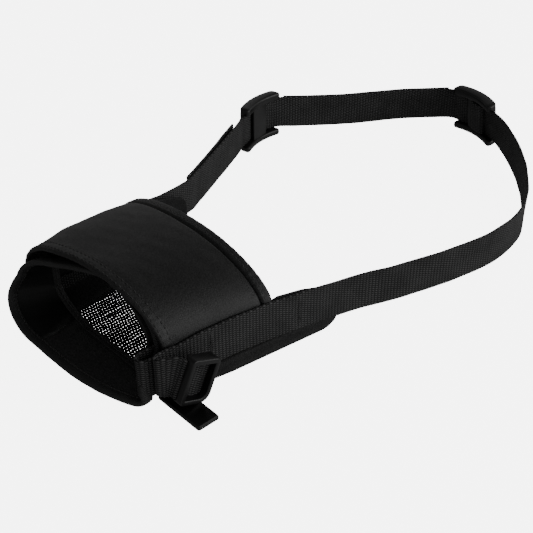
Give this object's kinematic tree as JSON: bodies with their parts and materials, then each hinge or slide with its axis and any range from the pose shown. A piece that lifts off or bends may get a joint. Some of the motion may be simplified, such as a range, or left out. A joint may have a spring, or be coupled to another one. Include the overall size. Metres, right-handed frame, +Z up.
{
  "type": "fabric dog muzzle",
  "caption": "Soft sleeve dog muzzle with an open front, a net insert, a webbing neck loop, slide adjusters and a pull tab.",
  "frame": {"origin": "on the flat underside of the chin band, midway between the two sides of the sleeve, on the surface that the muzzle lies on", "axes": "-Y is the way the wearer's nose points, out of the open front; +Y runs back to the neck loop; +X is the wearer's left, with the nose slide and the pull tab; +Z is up"},
  "size_m": [0.1853, 0.3349, 0.0503],
  "materials": {
    "coated_fabric": "smooth coated black fabric with a satin sheen",
    "binding": "matte black folded edge tape",
    "net": "matte black open knitted net",
    "webbing": "matte black ribbed polyester webbing",
    "thread": "black sewing thread",
    "moulded_plastic": "satin moulded black plastic",
    "tab_plastic": "smooth black plastic with a polished rim"
  },
  "bodies": {
    "muzzle": {"nose_saddle": "coated_fabric", "saddle_front_hem": "coated_fabric", "saddle_rear_hem": "coated_fabric", "saddle_lining": "binding", "chin_band": "coated_fabric", "front_rim_binding": "coated_fabric", "band_seam_tape": "binding", "chin_net": "net", "net_rear_binding": "binding", "wing_left": "coated_fabric", "wing_right": "coated_fabric", "wing_hem_left": "binding", "wing_hem_right": "binding", "side_strap_left": "webbing", "side_strap_right": "webbing", "bar_tack_front_left": "thread", "bar_tack_front_right": "thread", "bar_tack_rear_left": "thread", "bar_tack_rear_right": "thread", "nose_strap": "webbing", "chin_tab_anchor": "webbing"},
    "neck_loop": {"neck_strap": "webbing", "rear_strap_outer_ply": "webbing", "right_strap_outer_ply": "webbing"},
    "nose_slide": {"nose_slide": "moulded_plastic"},
    "chin_tab": {"chin_tab": "tab_plastic"},
    "neck_slide_left": {"neck_slide_left": "moulded_plastic"},
    "neck_slide_right": {"neck_slide_right": "moulded_plastic"}
  },
  "joints": [
    {"name": "neck_loop_swing", "type": "hinge", "parent": "muzzle", "child": "neck_loop", "pos_m": [0, 0.104, 0.0129], "axis": [1, 0, 0], "range_deg": [0, 75]},
    {"name": "nose_slide_travel", "type": "slide", "parent": "muzzle", "child": "nose_slide", "axis": [0.03, 0.9506, -0.3089], "range_m": [0, 0.004]},
    {"name": "chin_tab_swivel", "type": "hinge", "parent": "muzzle", "child": "chin_tab", "pos_m": [0.054, 0.0162, 0.0011], "axis": [0, 0, 1], "range_deg": [-10, 10]},
    {"name": "neck_slide_left_travel", "type": "slide", "parent": "neck_loop", "child": "neck_slide_left", "axis": [0.874, -0.486, 0], "range_m": [0, 0.01]},
    {"name": "neck_slide_right_travel", "type": "slide", "parent": "neck_loop", "child": "neck_slide_right", "axis": [0.3097, -0.9508, 0], "range_m": [0, 0.007]}
  ]
}
